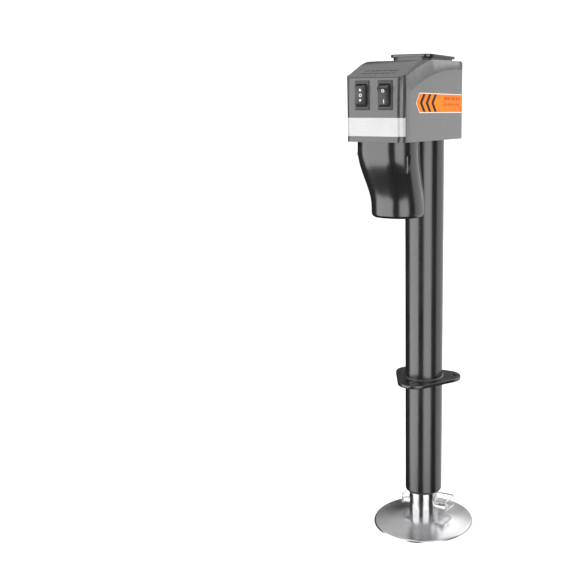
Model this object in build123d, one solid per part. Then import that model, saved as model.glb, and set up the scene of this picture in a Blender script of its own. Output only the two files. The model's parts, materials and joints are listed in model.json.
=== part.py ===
from build123d import *
import math
import os

# Powered tongue jack stand. Millimetres. Heights are above the ground under the foot, x is to the
# right seen from the switches, and the switches face -y. The tube and its screw lie on x = y = 0.
# On export every node is lowered so that the origin is at the centre of the flange's bolt circle,
# on the flange's underside.

# outer tube, ram and foot
TUBE_RADIUS = 28.575
TUBE_BORE = 25.075
TUBE_BOTTOM = 53.0
TUBE_TOP = 616.0
TUBE_LIP_RADIUS = 23.3
TUBE_LIP_TOP = 60.0
RAM_RADIUS = 22.5
RAM_BORE = 19.5
RAM_BOTTOM = 9.0
RAM_TOP = 560.0
RUNNING_GAP = 0.06
STROKE = 457.2
FOOT_RADIUS = 78.5
FOOT_SPIGOT_TOP = 44.0
PIN_HEIGHT = 28.3
PIN_RADIUS = 4.76
PIN_TIP_X = -34.7
PIN_HEAD_X = 35.0
PIN_HEAD_RADIUS = 6.2
BAIL_WIRE_RADIUS = 1.2
BAIL_HALF_HEIGHT = 7.6
BAIL_BACK_Y = 31.0
BAIL_FAR_X = -37.6

# mounting flange
FLANGE_TOP = 240.2
FLANGE_THICKNESS = 5.0
FLANGE_UNDERSIDE = FLANGE_TOP - FLANGE_THICKNESS
FLANGE_EAR_DISTANCE = 30.0
FLANGE_EAR_RADIUS = 27.0
FLANGE_PCD = 88.0
FLANGE_HOLE_RADIUS = 5.5
FLANGE_EAR_ANGLES = (-90, 30, 150)

# lead screw and its bearings
SCREW_RADIUS = 9.525
SCREW_BOTTOM = 56.0
SCREW_COLLAR = (594.0, 599.0)
SCREW_COLLAR_RADIUS = 15.0
SCREW_STUB_RADIUS = 7.5
SCREW_TOP_RADIUS = 6.0
SCREW_TOP = 700.0
CRANK_HEX_ACROSS_CORNERS = 22.0

# gear train: the motor, two idlers and the screw stand in one line along y
SCREW_Y = 0.0
SECOND_IDLER_Y = -37.5
FIRST_IDLER_Y = -64.5
MOTOR_Y = -88.5
PRESSURE_ANGLE = math.radians(25)
ADDENDUM = 0.8
DEDENDUM = 1.1
BACKLASH = 0.15
IDLER_SHAFT_RADIUS = 3.0

# gearbox
GEARBOX_FLOOR = (616.0, 622.0)
GEARBOX_LID = (662.0, 666.0)
GEARBOX_WALL = 3.0
GEARBOX_REAR_RADIUS = 36.0
GEARBOX_FRONT_RADIUS = 22.0
GEARBOX_SCREWS = [(side * x, y) for side in (-1, 1) for x, y in ((32, -42), (25.5, -88), (28, 26))]

# head
HEAD_BOTTOM = 600.4
HEAD_FRONT = -154.4
HEAD_BACK = 42.6
HEAD_WALL = 2.5
GLAND_HEIGHT = 612.0
GLAND_THREAD_RADIUS = 5.0
NOSE_HALF_WIDTH = 43.3
SHELL_HALF_WIDTH = 41.2
PANEL_HALF_WIDTH = 44.0
PANEL_FRONT = -146.2
PANEL_DROP = 0.8
BEVEL_LEAN = 0.14
BASE_COVER_TOP = 603.4
SHELL_SCREWS = [(side * 35.5, y) for side in (-1, 1) for y in (-138, 33.5)]
CAP_BOTTOM = 713.6
CAP_TOP = 717.5
CRANK_HOLE_RADIUS = 16.0

# work light in the front of the head
LENS_BOTTOM = 608.0
LENS_TOP = 631.6
LENS_BACK = -147.6

# rocker switches
SWITCH_HEIGHT = 660.2
SWITCH_PIVOT_Y = -152.5
SWITCH_BEZEL_FRONT = -156.4
UP_DOWN_X = -16.5
LIGHT_X = 17.2
ROCKER_RADIUS = 14.0
ROCKER_HALF_WIDTH = 7.5
ROCKER_GAP = 0.35
ROCKER_AXLE_RADIUS = 1.5
LIGHT_ROCKER_TILT = 10.0

# motor and its cover
MOTOR_RADIUS = 24.0
MOTOR_BOTTOM = 512.0
COVER_WALL = 2.5
COVER_BOTTOM = 496.0
COVER_ROUNDING = 6.0
COVER_BEND_TOP = 588.0
COVER_BEND_BOTTOM = 510.0
COVER_SCREW_XY = (36.5, -128.5)

# side labels
LABEL_THICKNESS = 0.25
LABEL_HEIGHTS = (637.7, 663.9)


def disc(radius, low, high, x=0, y=0):
    return Pos(x, y, (low + high) / 2) * Cylinder(radius, high - low)


def ring(outer, inner, low, high, x=0, y=0):
    return disc(outer, low, high, x, y) - disc(inner, low - 1, high + 1, x, y)


def block(x, y, z):
    """Box between the two ends of each range."""
    size = [high - low for low, high in (x, y, z)]
    middle = [(high + low) / 2 for low, high in (x, y, z)]
    return Pos(*middle) * Box(*size)


def bar_along_x(radius, x, y, z):
    return Pos((x[0] + x[1]) / 2, y, z) * Rot(0, 90, 0) * Cylinder(radius, x[1] - x[0])


def bar_along_y(radius, y, x, z):
    return Pos(x, (y[0] + y[1]) / 2, z) * Rot(90, 0, 0) * Cylinder(radius, y[1] - y[0])


def rounded_plan(half_width, front, back, front_radius, back_radius, low, high):
    """Upright prism on a rectangle whose front and back corners have their own radii."""
    plan = Pos(0, (front + back) / 2) * Rectangle(2 * half_width, back - front)
    middle = (front + back) / 2
    plan = fillet([v for v in plan.vertices() if v.Y < middle], front_radius)
    plan = fillet([v for v in plan.vertices() if v.Y > middle], back_radius)
    return Pos(0, 0, low) * extrude(plan, high - low)


# ---------------------------------------------------------------- gears

def gear(teeth, module, low, high, y, tooth_direction, bore):
    """Spur gear with a tooth centred on tooth_direction, in degrees."""
    pitch_radius = teeth * module / 2
    base_radius = pitch_radius * math.cos(PRESSURE_ANGLE)
    tip_radius = pitch_radius + ADDENDUM * module
    root_radius = pitch_radius - DEDENDUM * module
    half_tooth = (math.pi * module / 2 - BACKLASH / 2) / 2 / pitch_radius

    def involute(radius):
        roll = math.sqrt(max(radius ** 2 / base_radius ** 2 - 1, 0))
        return roll - math.atan(roll)

    def half_angle(radius):
        return half_tooth + involute(pitch_radius) - involute(max(radius, base_radius))

    flank = [root_radius] + [base_radius + (tip_radius - base_radius) * k / 3 for k in range(4)]
    if root_radius >= base_radius:
        flank = [root_radius + (tip_radius - root_radius) * k / 3 for k in range(4)]
    outline = []
    for tooth in range(teeth):
        centre = math.radians(tooth_direction) + 2 * math.pi * tooth / teeth
        rising = [(r, centre - half_angle(r)) for r in flank]
        falling = [(r, centre + half_angle(r)) for r in reversed(flank)]
        outline += [(r * math.cos(a), r * math.sin(a)) for r, a in rising + falling]
    wheel = extrude(make_face(Polyline(outline, close=True)), high - low)
    return Pos(0, y, low) * wheel - disc(bore, low - 1, high + 1, 0, y)


def motor_pinion():
    return gear(10, 0.8, 652, 660.5, MOTOR_Y, 90, 2)


def first_gear():
    return gear(50, 0.8, 653, 659, FIRST_IDLER_Y, -90 + 180 / 50, 5)


def first_pinion():
    bore = IDLER_SHAFT_RADIUS + RUNNING_GAP
    teeth = gear(12, 1.0, 642, 652, FIRST_IDLER_Y, 90, bore)
    lower_hub = ring(4.8, bore, 622.4, 642, 0, FIRST_IDLER_Y)
    upper_hub = ring(5, bore, 652, 661.6, 0, FIRST_IDLER_Y)
    return teeth + lower_hub + upper_hub


def second_gear():
    return gear(42, 1.0, 643, 651, SECOND_IDLER_Y, -90 + 180 / 42, 6)


def second_pinion():
    bore = IDLER_SHAFT_RADIUS + RUNNING_GAP
    teeth = gear(12, 1.25, 625, 641, SECOND_IDLER_Y, 90, bore)
    lower_hub = ring(6, bore, 622.4, 625, 0, SECOND_IDLER_Y)
    middle_hub = ring(6, bore, 641, 651.5, 0, SECOND_IDLER_Y)
    upper_hub = ring(4.5, bore, 651.5, 661.6, 0, SECOND_IDLER_Y)
    return teeth + lower_hub + middle_hub + upper_hub


def key_space():
    return block((5.5, 9.5), (-2, 2), (627, 639))


def screw_gear():
    wheel = gear(48, 1.25, 626, 640, SCREW_Y, -90 + 180 / 48, SCREW_STUB_RADIUS)
    hub = ring(12, SCREW_STUB_RADIUS, 622.4, 626)
    return wheel + hub - key_space()


def idler_shafts():
    low, high = GEARBOX_FLOOR[0] + 3, GEARBOX_LID[1] - 1
    return [disc(IDLER_SHAFT_RADIUS, low, high, 0, y) for y in (FIRST_IDLER_Y, SECOND_IDLER_Y)]


# ---------------------------------------------------------------- tube, ram, screw and foot

def outer_tube():
    lip = ring(TUBE_RADIUS, TUBE_LIP_RADIUS, TUBE_BOTTOM, TUBE_LIP_TOP)
    tube = lip + ring(TUBE_RADIUS, TUBE_BORE, TUBE_LIP_TOP, TUBE_TOP)
    bottom_edges = tube.edges().filter_by(GeomType.CIRCLE).group_by(Axis.Z)[0]
    return fillet(bottom_edges.sort_by(SortBy.RADIUS)[-1], 4.8)


def dust_seal():
    return ring(TUBE_BORE, RAM_RADIUS + RUNNING_GAP, TUBE_LIP_TOP, 64)


def lower_guide_bush():
    return ring(TUBE_BORE, RAM_RADIUS + RUNNING_GAP, 64, 82)


def mounting_flange():
    ears = []
    holes = []
    for angle in FLANGE_EAR_ANGLES:
        turn = Rot(0, 0, angle)
        ears.append(turn * Pos(FLANGE_EAR_DISTANCE, 0) * Circle(FLANGE_EAR_RADIUS))
        holes.append(turn * Pos(FLANGE_PCD / 2, 0) * Circle(FLANGE_HOLE_RADIUS))
    outline = make_hull([edge for ear in ears for edge in ear.edges()])
    for hole in holes:
        outline -= hole
    outline -= Circle(TUBE_RADIUS)
    plate = Pos(0, 0, FLANGE_UNDERSIDE) * extrude(outline, FLANGE_THICKNESS)
    rim = [e for e in plate.edges().group_by(Axis.Z)[-1] if e.bounding_box().diagonal > 25]
    return fillet([e for e in rim if not is_tube_edge(e)], 1.2)


def is_tube_edge(edge):
    return edge.geom_type == GeomType.CIRCLE and abs(edge.radius - TUBE_RADIUS) < 0.01


def bearing_plate():
    return ring(TUBE_BORE, 11, 608.2, TUBE_TOP)


def screw_bush():
    return ring(11, SCREW_STUB_RADIUS + RUNNING_GAP, 608.2, TUBE_TOP)


def thrust_bearing():
    """Ball thrust bearing: the race above, its ring of balls and their cage."""
    pitch, count = 11.6, 12
    race = ring(15, SCREW_STUB_RADIUS + 0.4, 604, 608.2)
    balls = []
    cage = ring(15, 8.2, 600.6, 602.4)
    for k in range(count):
        angle = 2 * math.pi * k / count
        place = Pos(pitch * math.cos(angle), pitch * math.sin(angle), 601.55)
        cage -= place * Cylinder(2.5, 6)
        balls.append(place * Sphere(2.42))
    return [race, cage] + balls


def ram_tube():
    hole = bar_along_x(PIN_RADIUS + 0.1, (-30, 30), 0, PIN_HEIGHT)
    return ring(RAM_RADIUS, RAM_BORE, RAM_BOTTOM, RAM_TOP) - hole


def ram_guide_ring():
    return ring(TUBE_BORE - 0.085, RAM_RADIUS, 540, 556)


def lead_nut():
    bore = SCREW_RADIUS + RUNNING_GAP
    return ring(RAM_BORE, bore, 528, RAM_TOP) + ring(RAM_RADIUS, bore, RAM_TOP, RAM_TOP + 4)


def lead_screw():
    rod = disc(SCREW_RADIUS, SCREW_BOTTOM, SCREW_COLLAR[0]) + disc(SCREW_COLLAR_RADIUS, *SCREW_COLLAR)
    rod += disc(SCREW_STUB_RADIUS, SCREW_COLLAR[1], 640) + disc(SCREW_TOP_RADIUS, 640, SCREW_TOP)
    return rod - key_space()


def screw_end_stop():
    return ring(14, SCREW_RADIUS, 62, 70)


def crank_hex():
    hexagon = RegularPolygon(CRANK_HEX_ACROSS_CORNERS / 2, 6)
    head = Pos(0, 0, 688) * extrude(hexagon, 14)
    return head - disc(SCREW_TOP_RADIUS, 687, SCREW_TOP)


def foot_plate():
    """Pressed dish with a turned-down rim, and the spigot that plugs into the ram."""
    top = [(0, RAM_BOTTOM), (27, RAM_BOTTOM)]
    rise = Spline((27, RAM_BOTTOM), (50, 6.6), (75.5, 3.4), tangents=[(1, 0), (1, -0.1)])
    rim = RadiusArc((75.5, 3.4), (FOOT_RADIUS, 0), 3.4)
    foot_edge = Line((FOOT_RADIUS, 0), (FOOT_RADIUS - 2.6, 0))
    under_rim = Line((FOOT_RADIUS - 2.6, 0), (FOOT_RADIUS - 4, 0.9))
    under = Spline((FOOT_RADIUS - 4, 0.9), (50, 4.0), (27, 6.4), tangents=[(-1, 0.1), (-1, 0)])
    inside = Polyline((27, 6.4), (0, 6.4), (0, RAM_BOTTOM))
    outline = Polyline(*top) + rise + rim + foot_edge + under_rim + under + inside
    dish = revolve(Plane.XZ * make_face(outline), Axis.Z)
    spigot = ring(RAM_BORE - 0.2, RAM_BORE - 3.5, RAM_BOTTOM, FOOT_SPIGOT_TOP)
    hole = bar_along_x(PIN_RADIUS + 0.1, (-30, 30), 0, PIN_HEIGHT)
    return dish + (spigot - hole)


def lock_pin():
    shank = bar_along_x(PIN_RADIUS, (PIN_TIP_X, PIN_HEAD_X), 0, PIN_HEIGHT)
    shank = chamfer(shank.edges().sort_by(Axis.X)[0], 1.6)
    head = bar_along_x(PIN_HEAD_RADIUS, (PIN_HEAD_X, PIN_HEAD_X + 5), 0, PIN_HEIGHT)
    head = fillet(head.edges().filter_by(GeomType.CIRCLE), 0.8)
    hole = disc(BAIL_WIRE_RADIUS + 0.05, PIN_HEIGHT - 9, PIN_HEIGHT + 9, PIN_HEAD_X + 2.5, 0)
    return shank + head - hole


def pin_bail():
    """Closed double wire loop: both ends stand in the pin's head, the far end caps its tip."""
    pivot_x = PIN_HEAD_X + 2.5
    low = PIN_HEIGHT - BAIL_HALF_HEIGHT
    high = PIN_HEIGHT + BAIL_HALF_HEIGHT
    route = [
        (pivot_x, 0, PIN_HEIGHT + 0.6),
        (pivot_x, 0, high),
        (pivot_x + 2.5, BAIL_BACK_Y, high),
        (BAIL_FAR_X, BAIL_BACK_Y, high),
        (BAIL_FAR_X, 0, high),
        (BAIL_FAR_X, 0, low),
        (BAIL_FAR_X, BAIL_BACK_Y, low),
        (pivot_x + 2.5, BAIL_BACK_Y, low),
        (pivot_x, 0, low),
        (pivot_x, 0, PIN_HEIGHT - 0.6),
    ]
    path = FilletPolyline(*route, radius=[1.3, 4, 4, 3, 3, 4, 4, 1.3])
    return sweep(Plane(path @ 0, z_dir=path % 0) * Circle(BAIL_WIRE_RADIUS), path)


# ---------------------------------------------------------------- gearbox

def gearbox_outline(rear_radius, front_radius, low, high):
    circles = [Pos(0, SCREW_Y) * Circle(rear_radius), Pos(0, MOTOR_Y) * Circle(front_radius)]
    hull = make_hull([edge for circle in circles for edge in circle.edges()])
    return Pos(0, 0, low) * extrude(hull, high - low)


def gearbox_base():
    low, floor = GEARBOX_FLOOR
    top = GEARBOX_LID[0]
    body = gearbox_outline(GEARBOX_REAR_RADIUS, GEARBOX_FRONT_RADIUS, low, top)
    for x, y in GEARBOX_SCREWS:
        body += disc(4.5, low, top, x, y)
    rear, front = GEARBOX_REAR_RADIUS - GEARBOX_WALL, GEARBOX_FRONT_RADIUS - GEARBOX_WALL
    body -= gearbox_outline(rear, front, floor, top)
    body += ring(34, TUBE_RADIUS, 604, low)
    body -= disc(12, low, floor) + disc(12, low, floor, 0, MOTOR_Y)
    for y in (FIRST_IDLER_Y, SECOND_IDLER_Y):
        body -= disc(IDLER_SHAFT_RADIUS, low + 3, floor, 0, y)
    for x, y in GEARBOX_SCREWS:
        body -= disc(2, 646, top, x, y)
    for x in (-14.5, 14.5):
        body -= disc(2, low, floor, x, MOTOR_Y)
    return body


def gearbox_lid():
    low, high = GEARBOX_LID
    lid = gearbox_outline(GEARBOX_REAR_RADIUS, GEARBOX_FRONT_RADIUS, low, high)
    for x, y in GEARBOX_SCREWS:
        lid = lid + disc(4.5, low, high, x, y) - disc(2, low, high, x, y)
    for y in (FIRST_IDLER_Y, SECOND_IDLER_Y):
        lid -= disc(IDLER_SHAFT_RADIUS, low, high - 1, 0, y)
    return lid - disc(9, low, high)


def top_bush():
    return ring(9, SCREW_TOP_RADIUS + RUNNING_GAP, GEARBOX_LID[0], GEARBOX_LID[1] + 2)


def gearbox_screws():
    low, high = 646, GEARBOX_LID[1]
    screws = [disc(2, low, high, x, y) + cap_head(3.6, high, high + 3, x, y) for x, y in GEARBOX_SCREWS]
    floor = GEARBOX_FLOOR[1]
    motor = [disc(2, 610, floor, x, MOTOR_Y) + cap_head(3.5, floor, floor + 3, x, MOTOR_Y)
             for x in (-14.5, 14.5)]
    return screws + motor


def cap_head(radius, low, high, x, y):
    socket = Pos(x, y, high - 1.6) * extrude(RegularPolygon(radius * 0.5, 6), 2)
    return disc(radius, low, high, x, y) - socket


# ---------------------------------------------------------------- motor

def motor_can():
    return ring(MOTOR_RADIUS, MOTOR_RADIUS - 2, 520, 606, 0, MOTOR_Y)


def motor_rear_cap():
    return disc(MOTOR_RADIUS, MOTOR_BOTTOM, 520, 0, MOTOR_Y) - disc(3.04, 515, 521, 0, MOTOR_Y)


def motor_front_bell():
    bell = disc(MOTOR_RADIUS, 606, 616, 0, MOTOR_Y) + disc(12, 616, 621, 0, MOTOR_Y)
    bell -= disc(8, 610, 622, 0, MOTOR_Y) + disc(4, 605, 611, 0, MOTOR_Y)
    for x in (-14.5, 14.5):
        bell -= disc(2, 610, 617, x, MOTOR_Y)
    return bell


def motor_bearing():
    return ring(8, 3.04, 610, 620, 0, MOTOR_Y)


def motor_magnets():
    tube = ring(MOTOR_RADIUS - 2, 18.6, 530, 590, 0, MOTOR_Y)
    return tube - block((-8, 8), (MOTOR_Y - 30, MOTOR_Y + 30), (520, 600))


def brushes():
    return [block((side * 12.15 - 3.85, side * 12.15 + 3.85), (MOTOR_Y - 3, MOTOR_Y + 3), (595, 606))
            for side in (-1, 1)]


def motor_shaft():
    return disc(3, 515.5, 624, 0, MOTOR_Y) + disc(2, 624, 661.5, 0, MOTOR_Y)


def armature_core():
    core = ring(17.8, 3, 535, 585, 0, MOTOR_Y)
    slots = 12
    for k in range(slots):
        slot = block((11, 19), (-1.1, 1.1), (534, 586))
        core -= Pos(0, MOTOR_Y) * Rot(0, 0, 360 * k / slots) * slot
    return core


def armature_windings():
    ends = []
    for low, high in ((527, 535), (585, 592)):
        coil = ring(16.5, 5, low, high, 0, MOTOR_Y)
        ends.append(fillet(coil.edges().filter_by(GeomType.CIRCLE), 1.5))
    return ends


def commutator():
    drum = ring(8, 3, 594, 604, 0, MOTOR_Y)
    segments = 12
    for k in range(segments):
        gap = block((6, 9), (-0.3, 0.3), (593, 605))
        drum -= Pos(0, MOTOR_Y) * Rot(0, 0, 360 * (k + 0.5) / segments) * gap
    return drum


def motor_leads():
    leads = []
    for x in (-6, 6):
        path = FilletPolyline((x, -123.2, 628), (x, -123.2, 611), (x, -112.1, 611), radius=5)
        leads.append(sweep(Plane(path @ 0, z_dir=path % 0) * Circle(1.2), path))
    return leads


def cover_section(height, inset):
    """Rounded plan of the motor cover: wide and deep under the head, small and drawn back below."""
    s = min(max((COVER_BEND_TOP - height) / (COVER_BEND_TOP - COVER_BEND_BOTTOM), 0), 1)
    t = s * s * (3 - 2 * s)

    def between(upper, lower):
        return upper + (lower - upper) * t

    front_x, front_y, front_r = between(12, 4.5), between(-116, -88), between(30, 32) - inset
    back_x, back_y, back_r = between(6, 4.5), between(-84, -85), between(24, 32) - inset
    corners = [(front_x, front_y, front_r), (back_x, back_y, back_r),
               (-back_x, back_y, back_r), (-front_x, front_y, front_r)]
    circles = [Pos(x, y) * Circle(r) for x, y, r in corners]
    hull = make_hull([edge for circle in circles for edge in circle.edges()])
    return Pos(0, 0, height) * hull


def cover_form(inset, bottom):
    heights = [bottom, COVER_BEND_BOTTOM, 522, 535, 549, 563, 576, COVER_BEND_TOP, HEAD_BOTTOM]
    return loft([cover_section(height, inset) for height in heights])


def rounded_cover_bottom():
    """The lowest part of the cover, where its wall turns under through a quarter circle."""
    sections = []
    for degrees in (0, 22, 45, 67, 90):
        turn = math.radians(degrees)
        height = COVER_BOTTOM + COVER_ROUNDING * (1 - math.cos(turn))
        sections.append(cover_section(height, COVER_ROUNDING * (1 - math.sin(turn))))
    return loft(sections, ruled=True)


def motor_cover():
    outer = rounded_cover_bottom() + cover_form(0, COVER_BOTTOM + COVER_ROUNDING)
    cover = outer - cover_form(COVER_WALL, COVER_BOTTOM + COVER_WALL)
    for side in (-1, 1):
        x, y = side * COVER_SCREW_XY[0], COVER_SCREW_XY[1]
        cover += disc(5.8, 540, HEAD_BOTTOM, x, y) & outer
        cover -= disc(3.6, 530, 585, x, y) + disc(1.5, 584, HEAD_BOTTOM, x, y)
    return cover


def motor_cover_screws():
    screws = []
    for side in (-1, 1):
        x, y = side * COVER_SCREW_XY[0], COVER_SCREW_XY[1]
        screws.append(disc(3, 582, 585, x, y) + disc(1.5, 585, BASE_COVER_TOP, x, y))
    return screws


# ---------------------------------------------------------------- head shells

def head_profile(drop, inset, bottom):
    """Side outline of the head on the YZ plane: upright front, sloping brow, nearly flat top."""
    front_top = (HEAD_FRONT, 683.6 - drop)
    brow_end = (-118, 699.7 - drop)
    top_start = (-83.5, 707.6 - drop)
    brow = Line(front_top, brow_end)
    bend = TangentArc(brow_end, top_start, tangent=brow % 1)
    rest = Polyline(top_start, (HEAD_BACK, 711.2 - drop), (HEAD_BACK, bottom), (HEAD_FRONT, bottom),
                    front_top)
    outline = make_face(brow + bend + rest)
    outline = fillet([v for v in outline.vertices() if v.X > 0 and v.Y > 700], 12)
    outline = fillet([v for v in outline.vertices() if v.X < -150 and v.Y > 680], 3)
    if inset:
        outline = offset(outline, -inset, kind=Kind.INTERSECTION)
    return outline


def head_slice(drop, inset, bottom, half_width):
    return extrude(Plane.YZ * head_profile(drop, inset, bottom), half_width, both=True)


def shell_form():
    low, high = HEAD_BOTTOM, 720
    main = rounded_plan(SHELL_HALF_WIDTH, PANEL_FRONT - 5, HEAD_BACK - 2.8, 1, 7.2, low, high)
    nose = rounded_plan(NOSE_HALF_WIDTH, HEAD_FRONT, -120, 10, 1, low, high)
    nose &= block((-50, 50), (-160, PANEL_FRONT), (low, high))
    back = block((-34, 34), (20, HEAD_BACK), (low, high))
    return head_slice(PANEL_DROP, 0, HEAD_BOTTOM, 50) & (main + nose + back)


def shell_hollow():
    plan = rounded_plan(SHELL_HALF_WIDTH - HEAD_WALL, HEAD_FRONT + HEAD_WALL,
                        HEAD_BACK - 2.8 - HEAD_WALL, 7.5, 5, 590, 720)
    return head_slice(PANEL_DROP, HEAD_WALL, 580, 50) & plan


def light_band():
    return block((-50, 50), (-160, LENS_BACK), (LENS_BOTTOM, LENS_TOP))


def switch_space(x):
    return block((x - 9, x + 9), (-160, -134), (SWITCH_HEIGHT - 16, SWITCH_HEIGHT + 16))


def pedestal():
    return rounded_plan(30, -49, 38, 12, 12, 705.5, CAP_BOTTOM)


def centre_shell():
    hollow = shell_hollow()
    shell = shell_form() + pedestal() - hollow
    for x, y in SHELL_SCREWS:
        shell += disc(4, BASE_COVER_TOP, 625, x, y)
    shell -= light_band() + switch_space(UP_DOWN_X) + switch_space(LIGHT_X)
    shell -= disc(CRANK_HOLE_RADIUS, 700, 720)
    for x, y in SHELL_SCREWS:
        shell -= disc(1.4, BASE_COVER_TOP, 618, x, y)
    return shell - bar_along_y(GLAND_THREAD_RADIUS, (30, 50), 0, GLAND_HEIGHT)


def bevel_cut():
    """Space above the leaning band along the top of the right side panel."""
    apex_y, apex_z, radius = 26, 698.5, 413
    start_y = -150

    def on_arc(y):
        return apex_z - radius + math.sqrt(radius ** 2 - (y - apex_y) ** 2)

    arc = ThreePointArc((start_y, on_arc(start_y)), (-62, on_arc(-62)), (apex_y, apex_z))
    rest = Polyline((apex_y, apex_z), (60, apex_z), (60, 760), (start_y, 760), (start_y, on_arc(start_y)))
    face = make_face(arc + rest)
    placed = Pos(PANEL_HALF_WIDTH, 0, 0) * (Plane.YZ * face)
    lean = Vector(-BEVEL_LEAN, 0, 1)
    wedge = extrude(placed, 60 * lean.length, dir=lean.normalized())
    outside = Pos(PANEL_HALF_WIDTH, 0, 0) * extrude(Plane.YZ * face, 10)
    return wedge + outside


def side_panel(side):
    """Thin panel along one side, wrapping the back corner, with a rounded leading edge."""
    plan = Polyline((SHELL_HALF_WIDTH, PANEL_FRONT), (SHELL_HALF_WIDTH + 0.4, PANEL_FRONT))
    nose = Spline((SHELL_HALF_WIDTH + 0.4, PANEL_FRONT), (PANEL_HALF_WIDTH - 0.7, PANEL_FRONT + 2.9),
                  (PANEL_HALF_WIDTH, PANEL_FRONT + 10), tangents=[(1, 0), (0, 1)])
    side_line = Line((PANEL_HALF_WIDTH, PANEL_FRONT + 10), (PANEL_HALF_WIDTH, HEAD_BACK - 10))
    corner = RadiusArc((PANEL_HALF_WIDTH, HEAD_BACK - 10), (34, HEAD_BACK), -10)
    inner_end = Line((34, HEAD_BACK), (34, HEAD_BACK - 2.8))
    inner_corner = RadiusArc((34, HEAD_BACK - 2.8), (SHELL_HALF_WIDTH, HEAD_BACK - 10), 7.2)
    back_in = Line((SHELL_HALF_WIDTH, HEAD_BACK - 10), (SHELL_HALF_WIDTH, PANEL_FRONT))
    outline = make_face(plan + nose + side_line + corner + inner_end + inner_corner + back_in)
    panel = Pos(0, 0, HEAD_BOTTOM) * extrude(outline, 120)
    panel = panel & head_slice(0, 0, HEAD_BOTTOM, 50)
    panel -= bevel_cut()
    return panel if side > 0 else mirror(panel, Plane.YZ)


def side_labels():
    low, high = LABEL_HEIGHTS
    middle = (low + high) / 2
    tag = Polyline((-109.6, low), (HEAD_BACK - 10.5, low), (HEAD_BACK - 10.5, high), (-109.6, high),
                   (-120.6, middle), close=True)
    film = Pos(PANEL_HALF_WIDTH, 0, 0) * extrude(Plane.YZ * make_face(tag), LABEL_THICKNESS)
    return [film, mirror(film, Plane.YZ)]


def base_cover():
    """Floor of the head, with two upright rails for the control board."""
    plate = rounded_plan(SHELL_HALF_WIDTH - HEAD_WALL, HEAD_FRONT + HEAD_WALL,
                         HEAD_BACK - 2.8 - HEAD_WALL, 7.5, 5, HEAD_BOTTOM, BASE_COVER_TOP)
    plate -= disc(TUBE_RADIUS + 0.4, 599, 605) + disc(MOTOR_RADIUS + 0.4, 599, 605, 0, MOTOR_Y)
    for side in (-1, 1):
        plate += block(sorted((side * 30, side * 33)), (-126, -120), (BASE_COVER_TOP, 680))
        plate -= disc(1.5, 599, 605, side * COVER_SCREW_XY[0], COVER_SCREW_XY[1])
    for x, y in SHELL_SCREWS:
        plate -= disc(2.8, 600, 602, x, y) + disc(1.4, 601, 605, x, y)
    return plate


def shell_screws():
    return [disc(2.8, HEAD_BOTTOM, 602, x, y) + disc(1.4, 602, 618, x, y) for x, y in SHELL_SCREWS]


def light_lens():
    return (shell_form() - shell_hollow()) & light_band()


def light_reflector():
    tray = block((-37, 37), (HEAD_FRONT + HEAD_WALL, -144), (LENS_BOTTOM - 1, LENS_TOP + 1))
    cavity = block((-33, 33), (-156, -145.5), (LENS_BOTTOM + 1.5, LENS_TOP - 1.5))
    return (tray & shell_hollow()) - cavity


def led_board():
    return block((-31, 31), (-147.1, -145.5), (611, 628.6))


def led_chips():
    count, pitch = 8, 8
    chips = []
    for k in range(count):
        x = (k - (count - 1) / 2) * pitch
        chips.append(block((x - 1.75, x + 1.75), (-148.1, -147.1), (618, 621.5)))
    return chips


def top_cap():
    plate = rounded_plan(33, -51, 41, 12, 12, CAP_BOTTOM, CAP_TOP)
    plate = fillet(plate.edges().group_by(Axis.Z)[-1], 1.2)
    return plate + ring(15.6, 13, 706, CAP_BOTTOM)


# ---------------------------------------------------------------- switches

def switch_body(x):
    z = SWITCH_HEIGHT
    bezel = block((x - 10.1, x + 10.1), (SWITCH_BEZEL_FRONT, HEAD_FRONT), (z - 18.7, z + 18.7))
    front_edges = bezel.edges().group_by(Axis.Y)[0]
    bezel = chamfer(front_edges, 0.7)
    box = block((x - 9, x + 9), (HEAD_FRONT, -134), (z - 16, z + 16))
    half_width = ROCKER_HALF_WIDTH + ROCKER_GAP
    half_height = ROCKER_RADIUS + ROCKER_GAP
    pocket = block((x - half_width, x + half_width), (-158, -145), (z - half_height, z + half_height))
    axle = bar_along_x(ROCKER_AXLE_RADIUS + RUNNING_GAP, (x - 8.8, x + 8.8), SWITCH_PIVOT_Y, z)
    return bezel + box - pocket - axle


def rocker(x, tilt):
    """Rocker whose ends lie on a circle about its axle; tilt brings its top end out."""
    face_out, face_z = 9.0, 10.72
    rear_in, rear_z = -3.0, 13.67
    upper = ThreePointArc((-face_out, face_z), (0, ROCKER_RADIUS), (-rear_in, rear_z))
    back = Polyline((-rear_in, rear_z), (5, 4), (5, -4), (-rear_in, -rear_z))
    lower = ThreePointArc((-rear_in, -rear_z), (0, -ROCKER_RADIUS), (-face_out, -face_z))
    face = ThreePointArc((-face_out, -face_z), (-face_out + 1.8, 0), (-face_out, face_z))
    outline = make_face(upper + back + lower + face)
    solid = extrude(Plane.YZ * outline, ROCKER_HALF_WIDTH, both=True)
    solid += bar_along_x(ROCKER_AXLE_RADIUS, (-8.7, 8.7), 0, 0)
    return Pos(x, SWITCH_PIVOT_Y, SWITCH_HEIGHT) * Rot(tilt, 0, 0) * solid


def switch_terminals():
    blades = []
    for x in (UP_DOWN_X, LIGHT_X):
        for z in (-9, 0, 9):
            height = SWITCH_HEIGHT + z
            blades.append(block((x - 3.1, x + 3.1), (-134, -127), (height - 0.4, height + 0.4)))
    return blades


def control_board():
    return block((-30, 30), (-124, -122.4), (628, 680))


def relays():
    return [block((x - 8, x + 8), (-122.4, -112.4), (648, 666)) for x in (-12, 12)]


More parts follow.
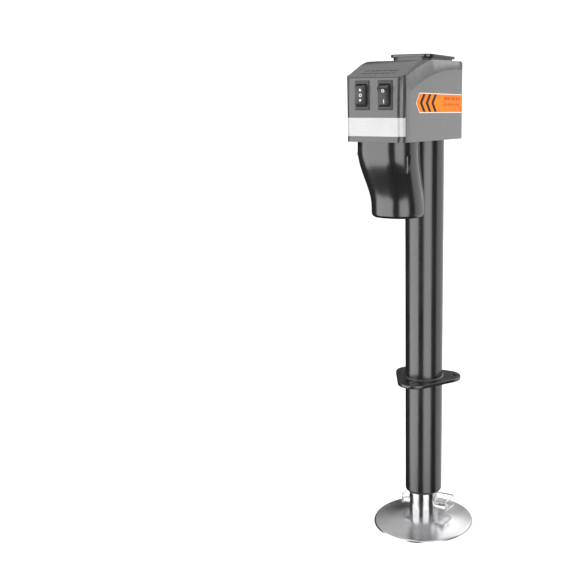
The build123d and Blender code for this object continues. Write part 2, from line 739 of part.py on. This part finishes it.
def cable_gland():
    """Gland through the back wall, held by a thin spring nut on the inside."""
    wall_inside = HEAD_BACK - 2.8 - HEAD_WALL
    thread = bar_along_y(GLAND_THREAD_RADIUS, (wall_inside - 0.9, 44), 0, GLAND_HEIGHT)
    nut = bar_along_y(7.6, (wall_inside - 0.9, wall_inside), 0, GLAND_HEIGHT)
    collar = bar_along_y(8, (HEAD_BACK, 45), 0, GLAND_HEIGHT)
    dome = bar_along_y(6.5, (45, 52), 0, GLAND_HEIGHT)
    dome = fillet(dome.edges().sort_by(Axis.Y)[-1], 2)
    return thread + nut + collar + dome - bar_along_y(3, (30, 60), 0, GLAND_HEIGHT)


# ---------------------------------------------------------------- export

NODES = {
    "outer_tube": outer_tube,
    "dust_seal": dust_seal,
    "lower_guide_bush": lower_guide_bush,
    "mounting_flange": mounting_flange,
    "bearing_plate": bearing_plate,
    "screw_bush": screw_bush,
    "thrust_bearing": thrust_bearing,
    "ram_tube": ram_tube,
    "ram_guide_ring": ram_guide_ring,
    "lead_nut": lead_nut,
    "foot_plate": foot_plate,
    "lock_pin": lock_pin,
    "pin_bail": pin_bail,
    "lead_screw": lead_screw,
    "screw_end_stop": screw_end_stop,
    "screw_gear": screw_gear,
    "screw_gear_key": key_space,
    "crank_hex": crank_hex,
    "motor_pinion": motor_pinion,
    "first_gear": first_gear,
    "first_pinion": first_pinion,
    "second_gear": second_gear,
    "second_pinion": second_pinion,
    "idler_shafts": idler_shafts,
    "gearbox_base": gearbox_base,
    "gearbox_lid": gearbox_lid,
    "gearbox_screws": gearbox_screws,
    "top_bush": top_bush,
    "motor_can": motor_can,
    "motor_rear_cap": motor_rear_cap,
    "motor_front_bell": motor_front_bell,
    "motor_bearing": motor_bearing,
    "motor_magnets": motor_magnets,
    "motor_brushes": brushes,
    "motor_shaft": motor_shaft,
    "armature_core": armature_core,
    "armature_windings": armature_windings,
    "commutator": commutator,
    "motor_leads": motor_leads,
    "motor_cover": motor_cover,
    "motor_cover_screws": motor_cover_screws,
    "centre_shell": centre_shell,
    "side_panel_right": lambda: side_panel(1),
    "side_panel_left": lambda: side_panel(-1),
    "side_labels": side_labels,
    "base_cover": base_cover,
    "shell_screws": shell_screws,
    "light_lens": light_lens,
    "light_reflector": light_reflector,
    "led_board": led_board,
    "led_chips": led_chips,
    "top_cap": top_cap,
    "up_down_switch_body": lambda: switch_body(UP_DOWN_X),
    "light_switch_body": lambda: switch_body(LIGHT_X),
    "up_down_rocker": lambda: rocker(UP_DOWN_X, 0),
    "light_rocker": lambda: rocker(LIGHT_X, LIGHT_ROCKER_TILT),
    "switch_terminals": switch_terminals,
    "control_board": control_board,
    "relays": relays,
    "cable_gland": cable_gland,
}


def main():
    os.makedirs("parts", exist_ok=True)
    lowered = Pos(0, 0, -FLANGE_UNDERSIDE)
    for name, build in NODES.items():
        shape = build()
        pieces = shape if isinstance(shape, list) else [shape]
        solids = [solid for piece in pieces for solid in piece.solids()]
        placed = [lowered * solid for solid in solids]
        export_step(placed[0] if len(placed) == 1 else Compound(placed), f"parts/{name}.step")


main()
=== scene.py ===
import json
import math

import bmesh
import bpy
from mathutils import Matrix, Vector


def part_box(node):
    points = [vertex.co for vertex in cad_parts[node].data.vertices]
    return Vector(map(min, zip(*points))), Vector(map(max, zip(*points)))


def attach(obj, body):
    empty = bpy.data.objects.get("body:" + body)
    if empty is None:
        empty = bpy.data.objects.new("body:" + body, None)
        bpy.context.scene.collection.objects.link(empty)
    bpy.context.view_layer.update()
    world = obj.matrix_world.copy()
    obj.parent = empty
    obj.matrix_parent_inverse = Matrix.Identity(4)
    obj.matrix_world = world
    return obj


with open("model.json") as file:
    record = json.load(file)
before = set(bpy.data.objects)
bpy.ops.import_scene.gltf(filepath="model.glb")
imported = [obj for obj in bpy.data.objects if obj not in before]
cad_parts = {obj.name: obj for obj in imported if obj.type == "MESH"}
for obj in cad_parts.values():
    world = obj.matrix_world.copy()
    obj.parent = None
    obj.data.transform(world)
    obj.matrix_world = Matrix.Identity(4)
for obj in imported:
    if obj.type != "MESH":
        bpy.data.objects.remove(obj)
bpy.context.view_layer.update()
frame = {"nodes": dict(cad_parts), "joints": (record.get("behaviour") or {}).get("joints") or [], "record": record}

NODES = frame["nodes"]
MM = 0.001

# the view
CAMERA_PLACE = Vector((0.5434, -1.1484, 0.4059))
CAMERA_AZIMUTH = math.radians(26.23)
CAMERA_PITCH = math.radians(11.7)
CAMERA_LENS = 53.6
CAMERA_SHIFT = -0.2133

# ------------------------------------------------------------------ materials


def new_material(name):
    material = bpy.data.materials.new(name)
    material.use_nodes = True
    nodes = material.node_tree.nodes
    nodes.clear()
    shader = nodes.new("ShaderNodeBsdfPrincipled")
    output = nodes.new("ShaderNodeOutputMaterial")
    material.node_tree.links.new(shader.outputs["BSDF"], output.inputs["Surface"])
    return material, shader


def noise(material, scale, detail=4.0, stretch=(1, 1, 1)):
    """Noise over the object's own place in metres; scale is in features per metre."""
    nodes, links = material.node_tree.nodes, material.node_tree.links
    place = nodes.new("ShaderNodeTexCoord")
    mapping = nodes.new("ShaderNodeMapping")
    mapping.inputs["Scale"].default_value = stretch
    texture = nodes.new("ShaderNodeTexNoise")
    texture.inputs["Scale"].default_value = scale
    texture.inputs["Detail"].default_value = detail
    links.new(place.outputs["Object"], mapping.inputs["Vector"])
    links.new(mapping.outputs["Vector"], texture.inputs["Vector"])
    return texture.outputs["Fac"]


def ramp(material, value, low, high, stops=(0.3, 0.7)):
    """Maps a value to a range of colours, given as RGB."""
    nodes, links = material.node_tree.nodes, material.node_tree.links
    node = nodes.new("ShaderNodeValToRGB")
    node.color_ramp.elements[0].position = stops[0]
    node.color_ramp.elements[1].position = stops[1]
    node.color_ramp.elements[0].color = (*low, 1)
    node.color_ramp.elements[1].color = (*high, 1)
    links.new(value, node.inputs["Fac"])
    return node.outputs["Color"]


def spread(material, value, low, high):
    """Maps a value between 0.3 and 0.7 to a range of numbers."""
    nodes, links = material.node_tree.nodes, material.node_tree.links
    node = nodes.new("ShaderNodeMapRange")
    node.inputs["From Min"].default_value = 0.3
    node.inputs["From Max"].default_value = 0.7
    node.inputs["To Min"].default_value = low
    node.inputs["To Max"].default_value = high
    links.new(value, node.inputs["Value"])
    return node.outputs["Result"]


def bump(material, value, depth, strength=1.0, below=None):
    nodes, links = material.node_tree.nodes, material.node_tree.links
    node = nodes.new("ShaderNodeBump")
    node.inputs["Distance"].default_value = depth
    node.inputs["Strength"].default_value = strength
    links.new(value, node.inputs["Height"])
    if below is not None:
        links.new(below, node.inputs["Normal"])
    return node.outputs["Normal"]


def finish(name, low, high, rough, metallic=0.0, grain=(900, 0.00002), specular=0.5, ior=1.5,
           patches=14, stretch=(1, 1, 1)):
    """Surface with patchy colour and roughness and a fine grain."""
    material, shader = new_material(name)
    links = material.node_tree.links
    broad = noise(material, patches, 5)
    fine = noise(material, grain[0], 3, stretch)
    links.new(ramp(material, broad, low, high), shader.inputs["Base Color"])
    links.new(spread(material, broad, rough[0], rough[1]), shader.inputs["Roughness"])
    links.new(bump(material, fine, grain[1]), shader.inputs["Normal"])
    shader.inputs["Metallic"].default_value = metallic
    shader.inputs["Specular IOR Level"].default_value = specular
    shader.inputs["IOR"].default_value = ior
    return material


def grey(value):
    return (value, value, value * 1.01)


def lens_material():
    """Milky lens with fine level ribs."""
    material = finish("light_lens_mat", (0.29, 0.29, 0.295), (0.33, 0.33, 0.33), (0.16, 0.24),
                      grain=(300, 0.00001), patches=30, specular=0.8, ior=1.6)
    nodes, links = material.node_tree.nodes, material.node_tree.links
    shader = next(node for node in nodes if node.type == "BSDF_PRINCIPLED")
    place = nodes.new("ShaderNodeTexCoord")
    wave = nodes.new("ShaderNodeTexWave")
    wave.bands_direction = "Z"
    wave.inputs["Scale"].default_value = 60
    wave.inputs["Distortion"].default_value = 0.0
    links.new(place.outputs["Object"], wave.inputs["Vector"])
    links.new(bump(material, wave.outputs["Fac"], 0.00015), shader.inputs["Normal"])
    return material


MATERIALS = {
    "black_coat": finish("black_coat_mat", grey(0.003), grey(0.005), (0.20, 0.26),
                         grain=(420, 0.00001), specular=0.6, ior=1.8),
    "chrome": finish("chrome_mat", (0.58, 0.58, 0.59), (0.68, 0.68, 0.69), (0.12, 0.19), 1.0,
                     grain=(60, 0.00001), patches=22),
    "zinc": finish("zinc_mat", (0.55, 0.55, 0.56), (0.72, 0.72, 0.72), (0.16, 0.3), 1.0,
                   grain=(1500, 0.00001), patches=90),
    "steel": finish("steel_mat", (0.38, 0.38, 0.39), (0.52, 0.52, 0.52), (0.25, 0.4), 1.0,
                    grain=(800, 0.00002), stretch=(1, 1, 12)),
    "bronze": finish("bronze_mat", (0.42, 0.26, 0.1), (0.6, 0.4, 0.17), (0.3, 0.45), 1.0),
    "rubber": finish("rubber_mat", grey(0.012), grey(0.03), (0.6, 0.75), grain=(1500, 0.00003)),
    "nylon": finish("nylon_mat", (0.6, 0.58, 0.53), (0.7, 0.69, 0.64), (0.4, 0.5)),
    "cast_alloy": finish("cast_alloy_mat", grey(0.4), grey(0.52), (0.45, 0.6), 1.0,
                         grain=(1200, 0.00008)),
    "shell_grey": finish("shell_grey_mat", grey(0.018), grey(0.023), (0.22, 0.28),
                         grain=(2600, 0.00002), specular=0.55, ior=1.8),
    "panel_grey": finish("panel_grey_mat", grey(0.084), grey(0.096), (0.24, 0.30),
                         grain=(2600, 0.00002), specular=0.5, ior=1.6),
    "cover_black": finish("cover_black_mat", grey(0.003), grey(0.005), (0.20, 0.26),
                          grain=(160, 0.00001), specular=0.6, ior=1.8),
    "switch_black": finish("switch_black_mat", grey(0.012), grey(0.02), (0.28, 0.36),
                           grain=(3000, 0.00002)),
    "lens": lens_material(),
    "reflector_white": finish("reflector_white_mat", grey(0.7), grey(0.8), (0.35, 0.45)),
    "board_green": finish("board_green_mat", (0.01, 0.10, 0.04), (0.03, 0.17, 0.07), (0.35, 0.5)),
    "led_yellow": finish("led_yellow_mat", (0.8, 0.66, 0.2), (0.9, 0.8, 0.3), (0.3, 0.4)),
    "label_orange": finish("label_orange_mat", (0.50, 0.128, 0.002), (0.55, 0.148, 0.003), (0.42, 0.5),
                           grain=(1200, 0.00001), specular=0.12),
    "copper": finish("copper_mat", (0.6, 0.27, 0.13), (0.75, 0.38, 0.2), (0.25, 0.4), 1.0),
    "magnet": finish("magnet_mat", grey(0.04), grey(0.07), (0.5, 0.65)),
    "carbon": finish("carbon_mat", grey(0.02), grey(0.04), (0.45, 0.6)),
    "wire_red": finish("wire_red_mat", (0.4, 0.02, 0.01), (0.55, 0.04, 0.02), (0.4, 0.5)),
    "relay_blue": finish("relay_blue_mat", (0.03, 0.07, 0.25), (0.05, 0.11, 0.34), (0.35, 0.45)),
}
INK_WHITE = finish("ink_white_mat", grey(0.5), grey(0.58), (0.4, 0.5), specular=0.2, patches=200)
INK_DARK = finish("ink_dark_mat", (0.018, 0.006, 0.003), (0.026, 0.009, 0.005), (0.42, 0.5),
                  specular=0.12)
INK_RED = finish("ink_red_mat", (0.42, 0.058, 0.002), (0.47, 0.07, 0.003), (0.42, 0.5),
                 specular=0.12, patches=200)

for entry in frame["record"]["subparts"]:
    mesh = NODES[entry["node"]].data
    mesh.materials.clear()
    mesh.materials.append(MATERIALS[entry["material_slot"]])

# the foot's dome is polished less finely than the ram
FOOT_CHROME = finish("foot_chrome_mat", (0.50, 0.50, 0.51), (0.60, 0.60, 0.61), (0.20, 0.28), 1.0,
                     grain=(60, 0.00001), patches=22)
NODES["foot_plate"].data.materials[0] = FOOT_CHROME

# the motor cover's screws are coloured near black as painted shade, because they sit in shade; their slot in the
# record is zinc
NODES["motor_cover_screws"].data.materials[0] = finish(
    "painted_shade_screw_mat", grey(0.015), grey(0.03), (0.35, 0.5), 1.0, grain=(1500, 0.00001), patches=90)

# ------------------------------------------------------------------ crisp edges on the shells


WELD_DISTANCE = 0.000002
SOFTENED = {"centre_shell": 0.0006, "side_panel_right": 0.0005, "side_panel_left": 0.0005,
            "up_down_switch_body": 0.0003, "light_switch_body": 0.0003, "up_down_rocker": 0.0005,
            "light_rocker": 0.0005, "mounting_flange": 0.0004}


def soften_edges(node, width):
    """Joins the split edges and rounds them a little, as a moulded piece has them."""
    piece = NODES[node]
    weld = piece.modifiers.new("weld", "WELD")
    weld.merge_threshold = WELD_DISTANCE
    rounding = piece.modifiers.new("edge_rounding", "BEVEL")
    rounding.width = width
    rounding.segments = 2
    rounding.limit_method = "ANGLE"
    rounding.angle_limit = math.radians(30)
    rounding.harden_normals = True


for rounded, rounding_width in SOFTENED.items():
    soften_edges(rounded, rounding_width)

# ------------------------------------------------------------------ small pieces


def add_piece(name, mesh, material, body):
    piece = bpy.data.objects.new(name, mesh)
    bpy.context.scene.collection.objects.link(piece)
    mesh.materials.append(material)
    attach(piece, body)
    return piece


def add_prism(bm, outline, depth, place, hole=None):
    """Flat plate on an outline in its own plane, depth thick, set by a matrix; z is outward."""
    def loop(points, z):
        return [bm.verts.new(place @ Vector((x, y, z))) for x, y in points]

    low, high = loop(outline, 0), loop(outline, depth)
    count = len(outline)
    for k in range(count):
        j = (k + 1) % count
        bm.faces.new((low[k], low[j], high[j], high[k]))
    if hole is None:
        bm.faces.new(high)
        bm.faces.new(list(reversed(low)))
        return
    low_in, high_in = loop(hole, 0), loop(hole, depth)
    for k in range(count):
        j = (k + 1) % count
        bm.faces.new((high[k], high[j], high_in[j], high_in[k]))
        bm.faces.new((low[j], low[k], low_in[k], low_in[j]))
        bm.faces.new((low_in[k], high_in[k], high_in[j], low_in[j])[::-1])


def mesh_from(bm, name):
    bmesh.ops.recalc_face_normals(bm, faces=bm.faces)
    mesh = bpy.data.meshes.new(name)
    bm.to_mesh(mesh)
    bm.free()
    return mesh


def circle(radius, count=36):
    return [(radius * math.cos(2 * math.pi * k / count), radius * math.sin(2 * math.pi * k / count))
            for k in range(count)]


def rectangle(width, height):
    return [(-width / 2, -height / 2), (width / 2, -height / 2), (width / 2, height / 2),
            (-width / 2, height / 2)]


# plane whose x is the object's x, whose y is up, and whose z faces the front
FACING_FRONT = Matrix(((1, 0, 0, 0), (0, 0, -1, 0), (0, 1, 0, 0), (0, 0, 0, 1)))


# the rocker's hollow face: its distance from the axle and its radius
ROCKER_FACE = 7.2 * MM
ROCKER_HOLLOW = 32.8 * MM
MARK_THICKNESS = 0.12 * MM
MARK_SUNK = 0.02 * MM


def rocker_mark(name, body, joint, marks, tilt):
    """White marks on a rocker's hollow face; marks are (kind, height above the axle in mm)."""
    pivot = Vector(next(j["pos_m"] for j in frame["joints"] if j["name"] == joint))
    turn = Matrix.Translation(pivot) @ Matrix.Rotation(math.radians(tilt), 4, "X")
    bm = bmesh.new()
    for kind, height in marks:
        z = height * MM
        forward = ROCKER_FACE + z * z / (2 * ROCKER_HOLLOW) - MARK_SUNK
        lean = Matrix.Rotation(math.asin(z / ROCKER_HOLLOW), 4, "X")
        place = turn @ Matrix.Translation((0, -forward, z)) @ lean @ FACING_FRONT
        if kind == "ring":
            add_prism(bm, circle(2.1 * MM), MARK_THICKNESS, place, circle(1.25 * MM))
        elif kind == "bar":
            add_prism(bm, rectangle(1.0 * MM, 5.0 * MM), MARK_THICKNESS, place)
        else:
            way = 1 if kind == "up" else -1
            half, tall = 1.9 * MM, 1.7 * MM * way
            add_prism(bm, [(-half, -tall), (half, -tall), (0, tall)], MARK_THICKNESS, place)
    add_piece(name, mesh_from(bm, name), INK_WHITE, body)


rocker_mark("up_down_marks", "up_down_button", "up_down_rock",
            (("up", 7.0), ("ring", 0.0), ("down", -7.0)), 0)
rocker_mark("light_marks", "light_button", "light_rock", (("ring", 6.8), ("bar", -6.6)), 10)


LABEL_LOW, LABEL_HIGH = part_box("side_labels")
LABEL_MIDDLE = (LABEL_LOW[2] + LABEL_HIGH[2]) / 2
LABEL_HALF = (LABEL_HIGH[2] - LABEL_LOW[2]) / 2
LABEL_FRONT = -0.1096  # where the straight edges end and the arrow tip starts
LABEL_BACK = LABEL_HIGH[1]
LABEL_TIP = 10.9 * MM
INK_THICKNESS = 0.09 * MM
INK_SUNK = 0.03 * MM
CHEVRONS = 3
CHEVRON_PITCH = 18.0 * MM
CHEVRON_RUN = 10.5 * MM
CHEVRON_STROKE = 7.4 * MM
BAR_GAP = 3.2
# rows of bars standing in for words: height above the middle, bar height, bar lengths, in mm
BAR_ROWS = ((6.6, 4.2, (22, 15, 12)), (-1.6, 3.0, (9, 16, 8, 11)))


def side_place(side, y, z):
    """Plane just under the face of a side label; x runs to the front, y is up and z faces outwards."""
    x = LABEL_HIGH[0] if side > 0 else LABEL_LOW[0]
    turn = Matrix(((0, -1, 0), (0, 0, 1), (side, 0, 0))).transposed().to_4x4()
    return Matrix.Translation((x - side * INK_SUNK, y, z)) @ turn


def label_border(side, word):
    bm = bmesh.new()
    line = rectangle(LABEL_BACK - LABEL_FRONT, 1.0 * MM)
    for way in (-1, 1):
        height = LABEL_MIDDLE + way * (LABEL_HALF - 0.5 * MM)
        add_prism(bm, line, INK_THICKNESS, side_place(side, (LABEL_FRONT + LABEL_BACK) / 2, height))
    for way in (-1, 1):
        edge = [(0, way * LABEL_HALF), (LABEL_TIP, 0), (LABEL_TIP - 1.2 * MM, 0),
                (0, way * (LABEL_HALF - 1.5 * MM))]
        add_prism(bm, edge, INK_THICKNESS, side_place(side, LABEL_FRONT, LABEL_MIDDLE))
    name = f"label_border_{word}"
    add_piece(name, mesh_from(bm, name), INK_WHITE, "housing")


def label_chevrons(side, word):
    bm = bmesh.new()
    tall = LABEL_HALF - 1.5 * MM
    back, front = -CHEVRON_RUN / 2, CHEVRON_RUN / 2
    outline = [(back - CHEVRON_STROKE, tall), (back, tall), (front, 0), (back, -tall),
               (back - CHEVRON_STROKE, -tall), (front - CHEVRON_STROKE, 0)]
    for k in range(CHEVRONS):
        y = LABEL_FRONT + 6.2 * MM + k * CHEVRON_PITCH
        add_prism(bm, outline, INK_THICKNESS, side_place(side, y, LABEL_MIDDLE))
    name = f"label_chevrons_{word}"
    add_piece(name, mesh_from(bm, name), INK_DARK, "housing")


def label_bars(side, word):
    bm = bmesh.new()
    for height, tall, bars in BAR_ROWS:
        y = LABEL_BACK - 64 * MM
        for bar in bars:
            place = side_place(side, y + bar * MM / 2, LABEL_MIDDLE + height * MM)
            add_prism(bm, rectangle(bar * MM, tall * MM), INK_THICKNESS, place)
            y += (bar + BAR_GAP) * MM
    for k in range(3):
        place = side_place(side, LABEL_BACK - 5 * MM, LABEL_MIDDLE - (5 + 2.6 * k) * MM)
        add_prism(bm, rectangle(7 * MM, 1.5 * MM), INK_THICKNESS, place)
    name = f"label_bars_{word}"
    add_piece(name, mesh_from(bm, name), INK_RED, "housing")


for side_sign, side_word in ((1, "right"), (-1, "left")):
    label_border(side_sign, side_word)
    label_chevrons(side_sign, side_word)
    label_bars(side_sign, side_word)


# the sloping brow: its rise and run, and the place of its lower edge
BROW_SLOPE = math.atan2(16.1, 36.4)
BROW_FOOT = Vector((0, -0.1544, 0.4476))
RIB_WIDTH = 3.6
RIB_GAP = 3.5
RIB_HEIGHT = 0.8
RIB_SUNK = 0.2
# rows of ribs: distance up the brow and rib lengths, in mm
RIB_ROWS = ((15, (15, 5, 14, 4)), (24, (6, 15, 4, 13)))


def brow_ribs():
    """Two rows of plain raised dashes on the sloping brow."""
    bm = bmesh.new()
    up_brow = Vector((0, math.cos(BROW_SLOPE), math.sin(BROW_SLOPE)))
    for along, lengths in RIB_ROWS:
        x = -(sum(lengths) + RIB_GAP * (len(lengths) - 1)) / 2
        for length in lengths:
            place = BROW_FOOT + up_brow * along * MM + Vector(((x + length / 2) * MM, 0, -RIB_SUNK * MM))
            turn = Matrix.Rotation(BROW_SLOPE, 4, "X")
            add_prism(bm, rectangle(length * MM, RIB_WIDTH * MM), RIB_HEIGHT * MM,
                      Matrix.Translation(place) @ turn)
            x += length + RIB_GAP
    piece = add_piece("brow_ribs", mesh_from(bm, "brow_ribs"), MATERIALS["shell_grey"], "housing")
    rounding = piece.modifiers.new("rounding", "BEVEL")
    rounding.width = 0.25 * MM
    rounding.segments = 2


brow_ribs()


TUBE_RADIUS = 28.575 * MM
BEAD_SIZE = 1.8 * MM
BEAD_ROOT = 0.4 * MM
BEAD_RIPPLES = 48


def weld_bead(name, z):
    """Rippled weld round the tube, rising from height z."""
    around, across = 240, 8
    bm = bmesh.new()
    rings = []
    for k in range(around):
        angle = 2 * math.pi * k / around
        outward = Vector((math.cos(angle), math.sin(angle), 0))
        ripple = 1 + 0.10 * math.sin(angle * BEAD_RIPPLES) + 0.05 * math.sin(angle * 7)
        section = []
        for j in range(across + 1):
            turn = math.pi / 2 * j / across
            section.append((BEAD_SIZE * ripple * math.cos(turn), BEAD_SIZE * ripple * math.sin(turn)))
        section.append((-BEAD_ROOT, -0.3 * MM))
        rings.append([bm.verts.new(outward * (TUBE_RADIUS + out) + Vector((0, 0, z + up)))
                      for out, up in section])
    for k in range(around):
        this, following = rings[k], rings[(k + 1) % around]
        for j in range(len(this)):
            i = (j + 1) % len(this)
            bm.faces.new((this[j], following[j], following[i], this[i]))
    mesh = mesh_from(bm, name)
    mesh.shade_smooth()
    add_piece(name, mesh, MATERIALS["black_coat"], "housing")


weld_bead("flange_weld_bead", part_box("mounting_flange")[1][2])

# ------------------------------------------------------------------ studio


FLOOR_HALF = 12
ROOM_LIGHT = 1.35
# what shiny faces mirror: dark up to the first height, the sky's grey from the second
MIRRORED_DARK = (0.32, 0.02)
MIRRORED_SKY = (0.56, 0.8)
# (name, degrees round from the camera, distance, width, height, centre height, radiance)
WALL_PANELS = (("left_panel", -66.5, 2.0, 2.35, 2.45, 0.025, 2.4),
               ("front_panel", 19.5, 2.3, 1.95, 2.6, -0.05, 2.3),
               ("rear_panel", 129, 2.0, 4.9, 2.2, -0.48, 0.95))


def add_floor():
    """Wide pale floor that stays under the foot as the ram moves; shiny faces don't mirror it."""
    floor_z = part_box("foot_plate")[0][2]
    corners = [(x * FLOOR_HALF, y * FLOOR_HALF, floor_z) for x, y in ((-1, -1), (1, -1), (1, 1), (-1, 1))]
    mesh = bpy.data.meshes.new("floor")
    mesh.from_pydata(corners, [], [(0, 1, 2, 3)])
    mesh.materials.append(finish("floor_mat", grey(0.86), grey(0.9), (0.55, 0.65), patches=3,
                                 specular=0.1))
    floor = bpy.data.objects.new("floor", mesh)
    bpy.context.scene.collection.objects.link(floor)
    floor.visible_glossy = False
    floor.visible_shadow = False
    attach(floor, "ram")


def light_room():
    """Even white room; what shiny faces mirror is dark at eye level and pale higher up."""
    world = bpy.data.worlds.new("studio")
    bpy.context.scene.world = world
    world.use_nodes = True
    nodes, links = world.node_tree.nodes, world.node_tree.links
    nodes.clear()
    output = nodes.new("ShaderNodeOutputWorld")
    mix = nodes.new("ShaderNodeMixShader")
    path = nodes.new("ShaderNodeLightPath")
    plain = nodes.new("ShaderNodeBackground")
    plain.inputs["Color"].default_value = (1, 1, 1, 1)
    plain.inputs["Strength"].default_value = ROOM_LIGHT
    mirrored = nodes.new("ShaderNodeBackground")
    place = nodes.new("ShaderNodeTexCoord")
    split = nodes.new("ShaderNodeSeparateXYZ")
    sky = nodes.new("ShaderNodeValToRGB")
    for element, (stop, value) in zip(sky.color_ramp.elements, (MIRRORED_DARK, MIRRORED_SKY)):
        element.position = stop
        element.color = (value, value, value, 1)
    links.new(place.outputs["Generated"], split.inputs["Vector"])
    links.new(split.outputs["Z"], sky.inputs["Fac"])
    links.new(sky.outputs["Color"], mirrored.inputs["Color"])
    links.new(path.outputs["Is Glossy Ray"], mix.inputs["Fac"])
    links.new(plain.outputs["Background"], mix.inputs[1])
    links.new(mirrored.outputs["Background"], mix.inputs[2])
    links.new(mix.outputs["Shader"], output.inputs["Surface"])


def round_from_camera(degrees, distance, height):
    """Place at an angle round the object, counted from the camera towards its right."""
    angle = CAMERA_AZIMUTH + math.radians(degrees)
    return Vector((distance * math.sin(angle), -distance * math.cos(angle), height))


def add_panels():
    for name, degrees, distance, width, height, centre, radiance in WALL_PANELS:
        place = round_from_camera(degrees, distance, centre)
        add_light(name, place, Vector((0, 0, centre)), width, height, radiance)
    add_light("high_panel", round_from_camera(130, 2, 1.6), Vector((0, 0, 0.45)), 3.4, 1.3, 1.7)
    add_light("top_panel", Vector((-0.2, -0.2, 2.4)), Vector((0, -0.05, 0.4)), 1.6, 1.6, 0.9)


def add_light(name, place, aim, width, height, radiance):
    """Rectangular lamp of an even radiance, turned to face a point."""
    light = bpy.data.lights.new(name, "AREA")
    light.shape = "RECTANGLE"
    light.size = width
    light.size_y = height
    light.energy = radiance * math.pi * width * height
    lamp = bpy.data.objects.new(name, light)
    bpy.context.scene.collection.objects.link(lamp)
    lamp.location = place
    lamp.rotation_euler = (aim - place).to_track_quat("-Z", "Y").to_euler()


def camera():
    forward = -Vector((math.sin(CAMERA_AZIMUTH) * math.cos(CAMERA_PITCH),
                       -math.cos(CAMERA_AZIMUTH) * math.cos(CAMERA_PITCH), math.sin(CAMERA_PITCH)))
    data = bpy.data.cameras.new("camera")
    data.lens = CAMERA_LENS
    data.sensor_width = 36
    data.shift_x = CAMERA_SHIFT
    view = bpy.data.objects.new("camera", data)
    bpy.context.scene.collection.objects.link(view)
    view.location = CAMERA_PLACE
    view.rotation_euler = forward.to_track_quat("-Z", "Y").to_euler()
    bpy.context.scene.camera = view


add_floor()
light_room()
add_panels()
camera()
bpy.context.scene.view_settings.view_transform = "Standard"
